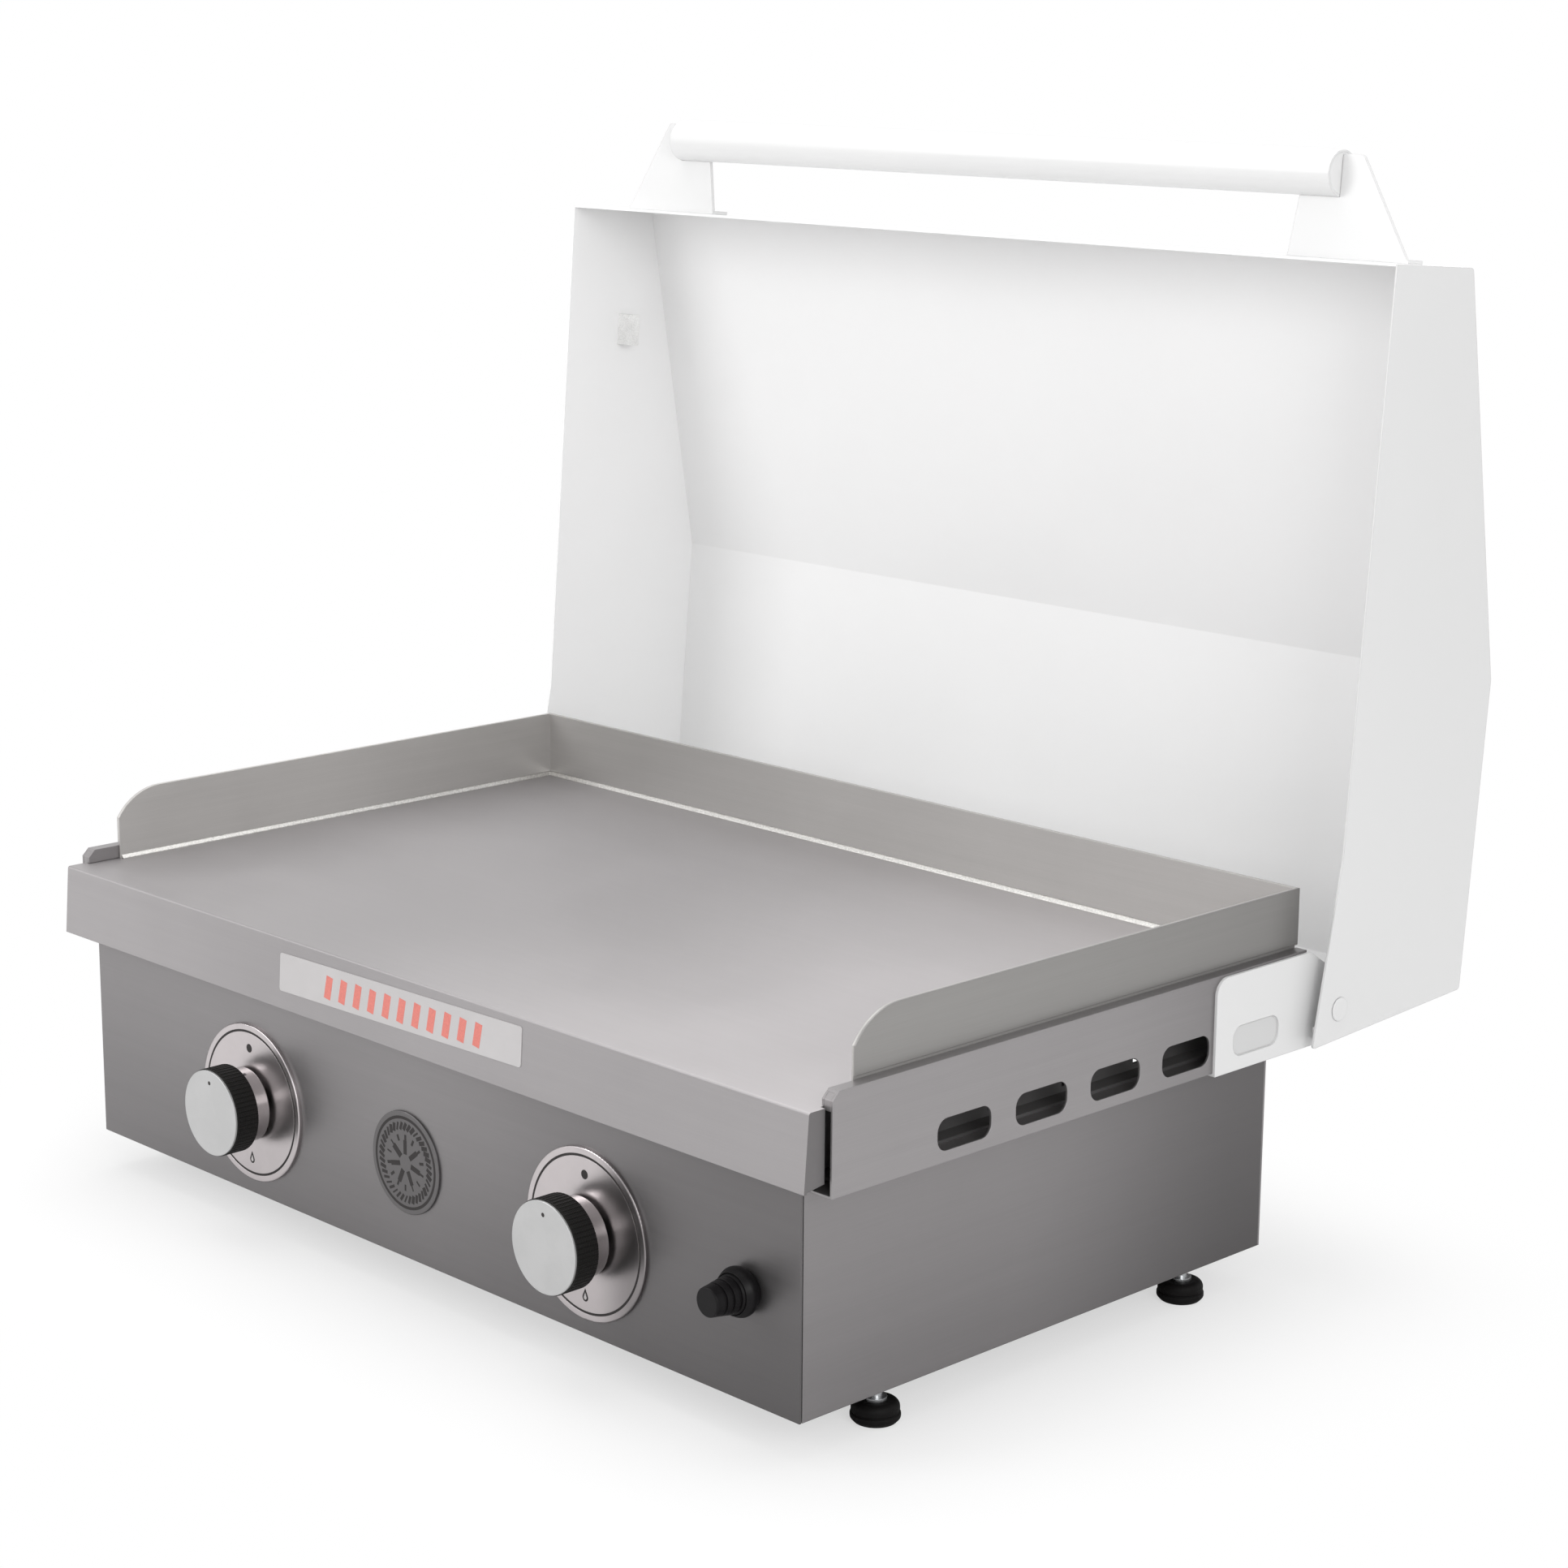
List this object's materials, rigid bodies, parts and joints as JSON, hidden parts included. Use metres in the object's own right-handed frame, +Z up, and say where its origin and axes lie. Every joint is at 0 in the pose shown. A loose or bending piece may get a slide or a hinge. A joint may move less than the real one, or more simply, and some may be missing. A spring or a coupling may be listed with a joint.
{
  "type": "flat top griddle",
  "caption": "Counter-top gas flat top griddle: steel plate with a splash guard on three sides, push-and-turn knobs, push igniter and hinged lid with a bar handle.",
  "frame": {"origin": "on the floor under the middle of the outline covered with the lid open", "axes": "+X to the right as seen by the cook, +Y to the back, +Z up"},
  "size_m": [0.7858, 0.6408, 0.7324],
  "materials": {
    "brushed_steel": "horizontally brushed stainless sheet",
    "weld_bead": "ground weld bead",
    "cast_iron": "black heat-resistant coated casting",
    "galvanised_steel": "galvanised sheet",
    "pale_enamel": "smooth pale baked enamel",
    "handle_steel": "fine satin tube",
    "black_rubber": "moulded rubber",
    "silicone": "soft silicone",
    "zinc_steel": "bright zinc plate",
    "brass": "machined brass",
    "pipe_steel": "drawn tube",
    "burner_steel": "drawn stainless tube",
    "bezel_chrome": "mirror polished",
    "knob_face_steel": "circular brushed inlay",
    "knob_black": "fluted black moulding",
    "igniter_black": "black moulding",
    "plug_grey": "satin plug",
    "badge_steel": "satin plaque with an engraved ring",
    "label_film": "adhesive film, blank",
    "ceramic_white": "unglazed insulator",
    "wire_red": "heat-proof lead"
  },
  "bodies": {
    "base": {"base_pan": "brushed_steel", "burner_end_plugs": "burner_steel", "burner_left": "burner_steel", "burner_right": "burner_steel", "burner_saddles": "galvanised_steel", "cast_iron_underplate": "cast_iron", "control_panel": "brushed_steel", "electrodes": "ceramic_white", "fascia_label": "label_film", "foot_nuts": "zinc_steel", "foot_pads": "black_rubber", "foot_studs": "zinc_steel", "front_badge": "badge_steel", "gas_inlet": "brass", "gas_manifold": "pipe_steel", "gas_valve_left": "brass", "gas_valve_right": "brass", "griddle_plate": "brushed_steel", "guard_weld": "weld_bead", "hinge_bracket_left": "pale_enamel", "hinge_bracket_right": "pale_enamel", "hinge_nuts": "zinc_steel", "hinge_pins": "zinc_steel", "hinge_spacers": "zinc_steel", "igniter_collar": "igniter_black", "igniter_module": "igniter_black", "ignition_leads": "wire_red", "jet_pipes": "pipe_steel", "knob_bezel_left": "bezel_chrome", "knob_bezel_right": "bezel_chrome", "lid_buffers": "black_rubber", "manifold_plug": "brass", "plate_supports": "galvanised_steel", "rear_panel": "brushed_steel", "rear_screws": "zinc_steel", "side_panel_left": "brushed_steel", "side_panel_right": "brushed_steel", "splash_guard": "brushed_steel", "vent_rail_left": "brushed_steel", "vent_rail_right": "brushed_steel"},
    "push_ring_left": {"stem_collar_left": "brass"},
    "knob_left": {"knob_face_left": "knob_face_steel", "knob_grip_left": "knob_black", "knob_skirt_left": "bezel_chrome", "valve_stem_left": "zinc_steel"},
    "push_ring_right": {"stem_collar_right": "brass"},
    "knob_right": {"knob_face_right": "knob_face_steel", "knob_grip_right": "knob_black", "knob_skirt_right": "bezel_chrome", "valve_stem_right": "zinc_steel"},
    "igniter_plunger": {"igniter_button": "igniter_black"},
    "lid": {"lid_skin": "pale_enamel", "lid_side_left": "pale_enamel", "lid_side_right": "pale_enamel", "handle_tube": "handle_steel", "handle_plugs": "plug_grey", "handle_arm_left": "pale_enamel", "handle_arm_right": "pale_enamel", "lid_rest_pads": "silicone"}
  },
  "joints": [
    {"name": "knob_left_push", "type": "slide", "parent": "base", "child": "push_ring_left", "axis": [0, 1, 0], "range_m": [0, 0.002], "stiffness_N_per_m": 800},
    {"name": "knob_left_turn", "type": "hinge", "parent": "push_ring_left", "child": "knob_left", "pos_m": [-0.173, -0.28479, 0.0923], "axis": [0, 1, 0], "range_deg": [-190, 0]},
    {"name": "knob_right_push", "type": "slide", "parent": "base", "child": "push_ring_right", "axis": [0, 1, 0], "range_m": [0, 0.002], "stiffness_N_per_m": 800},
    {"name": "knob_right_turn", "type": "hinge", "parent": "push_ring_right", "child": "knob_right", "pos_m": [0.173, -0.28479, 0.0923], "axis": [0, 1, 0], "range_deg": [-190, 0]},
    {"name": "igniter_press", "type": "slide", "parent": "base", "child": "igniter_plunger", "axis": [0, 1, 0], "range_m": [0, 0.005], "stiffness_N_per_m": 1500},
    {"name": "lid_hinge", "type": "hinge", "parent": "base", "child": "lid", "pos_m": [0, 0.16831, 0.18989], "axis": [1, 0, 0], "range_deg": [0, 94.3]}
  ]
}
